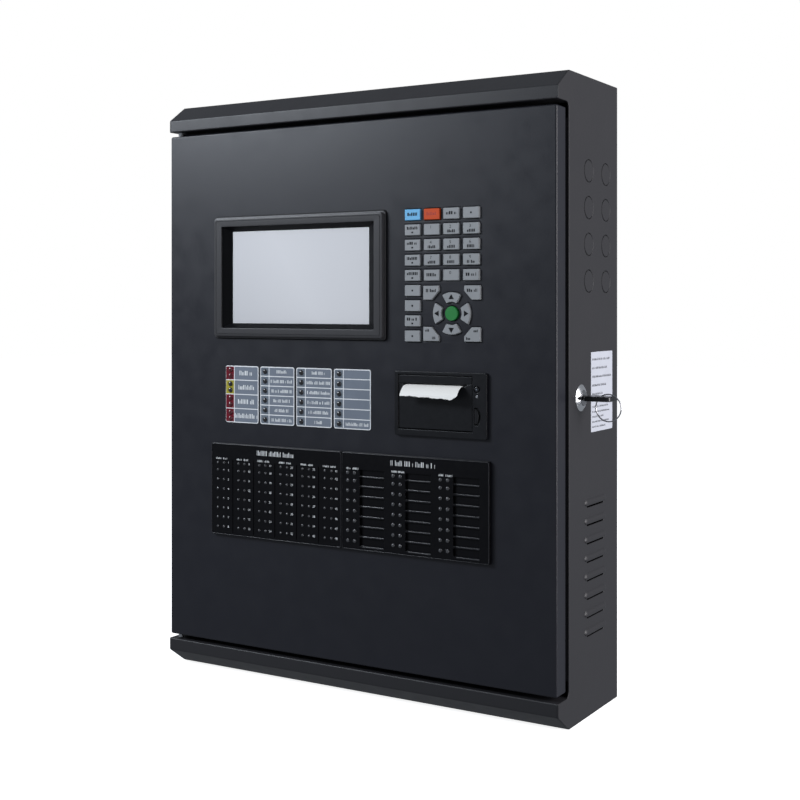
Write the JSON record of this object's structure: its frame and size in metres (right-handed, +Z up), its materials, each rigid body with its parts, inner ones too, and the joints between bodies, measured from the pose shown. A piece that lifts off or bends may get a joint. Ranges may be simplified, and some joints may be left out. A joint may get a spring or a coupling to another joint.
{
  "type": "fire alarm control panel",
  "caption": "Wall-mounted fire alarm control panel: steel cabinet and hinged door with screen, keypad, status lights, indicator panels and a strip printer, opened by a side lock.",
  "frame": {"origin": "centre of the four wall bolts, on the plane of the wall", "axes": "+Z up, +X to the right as seen from in front, +Y back into the wall"},
  "size_m": [0.4601, 0.1431, 0.555],
  "materials": {
    "powder_coat": "fine texture satin",
    "door_powder_coat": "fine texture satin",
    "plated_steel": "zinc plated",
    "circuit_board": "solder mask, satin",
    "battery_case": "moulded, matt",
    "lock_chrome": "polished",
    "key_head": "moulded, gloss",
    "ring_steel": "polished wire",
    "bezel_plastic": "brushed-look matt",
    "screen_glass": "gloss cover over a light panel",
    "overlay_film": "printed film, satin",
    "led_lens": "clear lens",
    "panel_plastic": "moulded, satin",
    "printer_plastic": "moulded, fine texture",
    "thermal_paper": "smooth",
    "platen_rubber": "matt",
    "key_grey": "moulded, satin",
    "key_blue": "moulded, satin",
    "key_orange": "moulded, satin",
    "key_green": "moulded, satin"
  },
  "bodies": {
    "cabinet": {"cabinet_shell": "powder_coat", "chassis_plate": "plated_steel", "main_board": "circuit_board", "power_supply": "plated_steel", "batteries": "battery_case", "hinge_pins": "plated_steel", "lock_barrel": "lock_chrome"},
    "lock": {"lock_cam": "plated_steel", "key": "key_head"},
    "key_ring": {"key_ring": "ring_steel"},
    "door": {"door_panel": "door_powder_coat", "display_bezel": "bezel_plastic", "display_screen": "screen_glass", "front_board": "circuit_board", "status_overlays": "overlay_film", "indicator_leds": "led_lens", "zone_panel": "panel_plastic", "equipment_panel": "panel_plastic", "indicator_boards": "circuit_board", "printer_frame": "printer_plastic", "printer_mechanism": "plated_steel"},
    "printer_cover": {"printer_cover": "printer_plastic", "paper_strip": "thermal_paper"},
    "platen": {"platen_roller": "platen_rubber"},
    "paper_roll": {"paper_roll": "thermal_paper"},
    "printer_latch": {"printer_latch": "printer_plastic"},
    "feed_button": {"feed_button": "printer_plastic"},
    "key_r1_c1": {"key_r1_c1": "key_blue"},
    "key_r1_c2": {"key_r1_c2": "key_orange"},
    "key_r1_c3": {"key_r1_c3": "key_grey"},
    "key_r1_c4": {"key_r1_c4": "key_grey"},
    "key_r2_c1": {"key_r2_c1": "key_grey"},
    "key_r2_c2": {"key_r2_c2": "key_grey"},
    "key_r2_c3": {"key_r2_c3": "key_grey"},
    "key_r2_c4": {"key_r2_c4": "key_grey"},
    "key_r3_c1": {"key_r3_c1": "key_grey"},
    "key_r3_c2": {"key_r3_c2": "key_grey"},
    "key_r3_c3": {"key_r3_c3": "key_grey"},
    "key_r3_c4": {"key_r3_c4": "key_grey"},
    "key_r4_c1": {"key_r4_c1": "key_grey"},
    "key_r4_c2": {"key_r4_c2": "key_grey"},
    "key_r4_c3": {"key_r4_c3": "key_grey"},
    "key_r4_c4": {"key_r4_c4": "key_grey"},
    "key_r5_c1": {"key_r5_c1": "key_grey"},
    "key_r5_c2": {"key_r5_c2": "key_grey"},
    "key_r5_c3": {"key_r5_c3": "key_grey"},
    "key_r5_c4": {"key_r5_c4": "key_grey"},
    "key_r6_c1": {"key_r6_c1": "key_grey"},
    "key_r7_c1": {"key_r7_c1": "key_grey"},
    "key_r8_c1": {"key_r8_c1": "key_grey"},
    "key_r9_c1": {"key_r9_c1": "key_grey"},
    "key_r6_c2": {"key_r6_c2": "key_grey"},
    "key_r6_c4": {"key_r6_c4": "key_grey"},
    "key_r9_c2": {"key_r9_c2": "key_grey"},
    "key_r9_c4": {"key_r9_c4": "key_grey"},
    "key_up": {"key_up": "key_grey"},
    "key_left": {"key_left": "key_grey"},
    "key_down": {"key_down": "key_grey"},
    "key_right": {"key_right": "key_grey"},
    "key_ok": {"key_ok": "key_green"}
  },
  "joints": [
    {"name": "door_swing", "type": "hinge", "parent": "cabinet", "child": "door", "pos_m": [-0.203, -0.121, 0], "axis": [0, 0, -1], "range_deg": [0, 120]},
    {"name": "lock_turn", "type": "hinge", "parent": "cabinet", "child": "lock", "pos_m": [0.21, -0.083, 0], "axis": [-1, 0, 0], "range_deg": [0, 90]},
    {"name": "cover_tilt", "type": "hinge", "parent": "door", "child": "printer_cover", "pos_m": [0.094, -0.13095, -0.02805], "axis": [1, 0, 0], "range_deg": [0, 80]},
    {"name": "key_ring_swing", "type": "hinge", "parent": "lock", "child": "key_ring", "pos_m": [0.235, -0.083, 0.002], "axis": [1, 0, 0], "range_deg": [-20, 20]},
    {"name": "latch_press", "type": "slide", "parent": "door", "child": "printer_latch", "axis": [0, 1, 0], "range_m": [0, 0.0015], "stiffness_N_per_m": 800},
    {"name": "feed_press", "type": "slide", "parent": "door", "child": "feed_button", "axis": [0, 1, 0], "range_m": [0, 0.0008], "stiffness_N_per_m": 1000},
    {"name": "paper_roll_spin", "type": "hinge", "parent": "door", "child": "paper_roll", "pos_m": [0.093, -0.105, -0.012], "axis": [1, 0, 0], "continuous": true},
    {"name": "platen_spin", "type": "hinge", "parent": "printer_cover", "child": "platen", "pos_m": [0.093, -0.1235, 0.00505], "axis": [1, 0, 0], "continuous": true},
    {"name": "press_key_r1_c1", "type": "slide", "parent": "door", "child": "key_r1_c1", "axis": [0, 1, 0], "range_m": [0, 0.0012], "stiffness_N_per_m": 500},
    {"name": "press_key_r1_c2", "type": "slide", "parent": "door", "child": "key_r1_c2", "axis": [0, 1, 0], "range_m": [0, 0.0012], "stiffness_N_per_m": 500},
    {"name": "press_key_r1_c3", "type": "slide", "parent": "door", "child": "key_r1_c3", "axis": [0, 1, 0], "range_m": [0, 0.0012], "stiffness_N_per_m": 500},
    {"name": "press_key_r1_c4", "type": "slide", "parent": "door", "child": "key_r1_c4", "axis": [0, 1, 0], "range_m": [0, 0.0012], "stiffness_N_per_m": 500},
    {"name": "press_key_r2_c1", "type": "slide", "parent": "door", "child": "key_r2_c1", "axis": [0, 1, 0], "range_m": [0, 0.0012], "stiffness_N_per_m": 500},
    {"name": "press_key_r2_c2", "type": "slide", "parent": "door", "child": "key_r2_c2", "axis": [0, 1, 0], "range_m": [0, 0.0012], "stiffness_N_per_m": 500},
    {"name": "press_key_r2_c3", "type": "slide", "parent": "door", "child": "key_r2_c3", "axis": [0, 1, 0], "range_m": [0, 0.0012], "stiffness_N_per_m": 500},
    {"name": "press_key_r2_c4", "type": "slide", "parent": "door", "child": "key_r2_c4", "axis": [0, 1, 0], "range_m": [0, 0.0012], "stiffness_N_per_m": 500},
    {"name": "press_key_r3_c1", "type": "slide", "parent": "door", "child": "key_r3_c1", "axis": [0, 1, 0], "range_m": [0, 0.0012], "stiffness_N_per_m": 500},
    {"name": "press_key_r3_c2", "type": "slide", "parent": "door", "child": "key_r3_c2", "axis": [0, 1, 0], "range_m": [0, 0.0012], "stiffness_N_per_m": 500},
    {"name": "press_key_r3_c3", "type": "slide", "parent": "door", "child": "key_r3_c3", "axis": [0, 1, 0], "range_m": [0, 0.0012], "stiffness_N_per_m": 500},
    {"name": "press_key_r3_c4", "type": "slide", "parent": "door", "child": "key_r3_c4", "axis": [0, 1, 0], "range_m": [0, 0.0012], "stiffness_N_per_m": 500},
    {"name": "press_key_r4_c1", "type": "slide", "parent": "door", "child": "key_r4_c1", "axis": [0, 1, 0], "range_m": [0, 0.0012], "stiffness_N_per_m": 500},
    {"name": "press_key_r4_c2", "type": "slide", "parent": "door", "child": "key_r4_c2", "axis": [0, 1, 0], "range_m": [0, 0.0012], "stiffness_N_per_m": 500},
    {"name": "press_key_r4_c3", "type": "slide", "parent": "door", "child": "key_r4_c3", "axis": [0, 1, 0], "range_m": [0, 0.0012], "stiffness_N_per_m": 500},
    {"name": "press_key_r4_c4", "type": "slide", "parent": "door", "child": "key_r4_c4", "axis": [0, 1, 0], "range_m": [0, 0.0012], "stiffness_N_per_m": 500},
    {"name": "press_key_r5_c1", "type": "slide", "parent": "door", "child": "key_r5_c1", "axis": [0, 1, 0], "range_m": [0, 0.0012], "stiffness_N_per_m": 500},
    {"name": "press_key_r5_c2", "type": "slide", "parent": "door", "child": "key_r5_c2", "axis": [0, 1, 0], "range_m": [0, 0.0012], "stiffness_N_per_m": 500},
    {"name": "press_key_r5_c3", "type": "slide", "parent": "door", "child": "key_r5_c3", "axis": [0, 1, 0], "range_m": [0, 0.0012], "stiffness_N_per_m": 500},
    {"name": "press_key_r5_c4", "type": "slide", "parent": "door", "child": "key_r5_c4", "axis": [0, 1, 0], "range_m": [0, 0.0012], "stiffness_N_per_m": 500},
    {"name": "press_key_r6_c1", "type": "slide", "parent": "door", "child": "key_r6_c1", "axis": [0, 1, 0], "range_m": [0, 0.0012], "stiffness_N_per_m": 500},
    {"name": "press_key_r7_c1", "type": "slide", "parent": "door", "child": "key_r7_c1", "axis": [0, 1, 0], "range_m": [0, 0.0012], "stiffness_N_per_m": 500},
    {"name": "press_key_r8_c1", "type": "slide", "parent": "door", "child": "key_r8_c1", "axis": [0, 1, 0], "range_m": [0, 0.0012], "stiffness_N_per_m": 500},
    {"name": "press_key_r9_c1", "type": "slide", "parent": "door", "child": "key_r9_c1", "axis": [0, 1, 0], "range_m": [0, 0.0012], "stiffness_N_per_m": 500},
    {"name": "press_key_r6_c2", "type": "slide", "parent": "door", "child": "key_r6_c2", "axis": [0, 1, 0], "range_m": [0, 0.0012], "stiffness_N_per_m": 500},
    {"name": "press_key_r6_c4", "type": "slide", "parent": "door", "child": "key_r6_c4", "axis": [0, 1, 0], "range_m": [0, 0.0012], "stiffness_N_per_m": 500},
    {"name": "press_key_r9_c2", "type": "slide", "parent": "door", "child": "key_r9_c2", "axis": [0, 1, 0], "range_m": [0, 0.0012], "stiffness_N_per_m": 500},
    {"name": "press_key_r9_c4", "type": "slide", "parent": "door", "child": "key_r9_c4", "axis": [0, 1, 0], "range_m": [0, 0.0012], "stiffness_N_per_m": 500},
    {"name": "press_key_up", "type": "slide", "parent": "door", "child": "key_up", "axis": [0, 1, 0], "range_m": [0, 0.0012], "stiffness_N_per_m": 500},
    {"name": "press_key_left", "type": "slide", "parent": "door", "child": "key_left", "axis": [0, 1, 0], "range_m": [0, 0.0012], "stiffness_N_per_m": 500},
    {"name": "press_key_down", "type": "slide", "parent": "door", "child": "key_down", "axis": [0, 1, 0], "range_m": [0, 0.0012], "stiffness_N_per_m": 500},
    {"name": "press_key_right", "type": "slide", "parent": "door", "child": "key_right", "axis": [0, 1, 0], "range_m": [0, 0.0012], "stiffness_N_per_m": 500},
    {"name": "press_key_ok", "type": "slide", "parent": "door", "child": "key_ok", "axis": [0, 1, 0], "range_m": [0, 0.0012], "stiffness_N_per_m": 500}
  ],
  "couplings": [
    {"joint": "platen_spin", "follows": "paper_roll_spin", "ratio": -3.6667}
  ]
}
